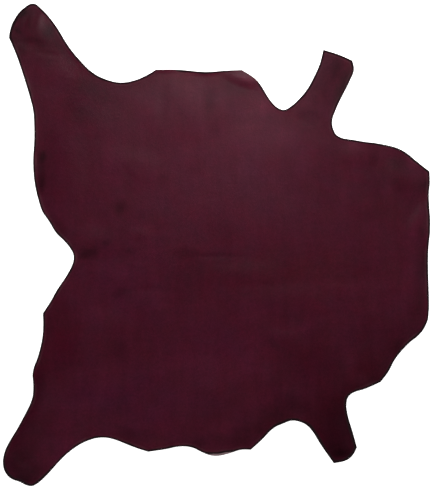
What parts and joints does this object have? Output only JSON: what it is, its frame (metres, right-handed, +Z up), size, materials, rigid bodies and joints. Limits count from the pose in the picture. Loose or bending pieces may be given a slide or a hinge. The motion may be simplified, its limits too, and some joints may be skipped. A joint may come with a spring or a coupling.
{
  "type": "buffalo calf leather hide",
  "caption": "Whole trimmed calf hide in soft burgundy leather, lying flat with its grain side up: raw material for cutting panels from.",
  "frame": {"origin": "middle of the hide's box, on the surface that it lies on", "axes": "+X along the spine from the tail root to the neck, +Y towards the legs of the far side, +Z up out of the grain side"},
  "size_m": [1.268, 1.432, 0.0071],
  "materials": {
    "burgundy_leather": "soft semi-matte burgundy grain with a fine pebble, paler suede-like flesh side, dark trimmed edge"
  },
  "bodies": {
    "root": {"hide": "burgundy_leather"}
  },
  "joints": []
}
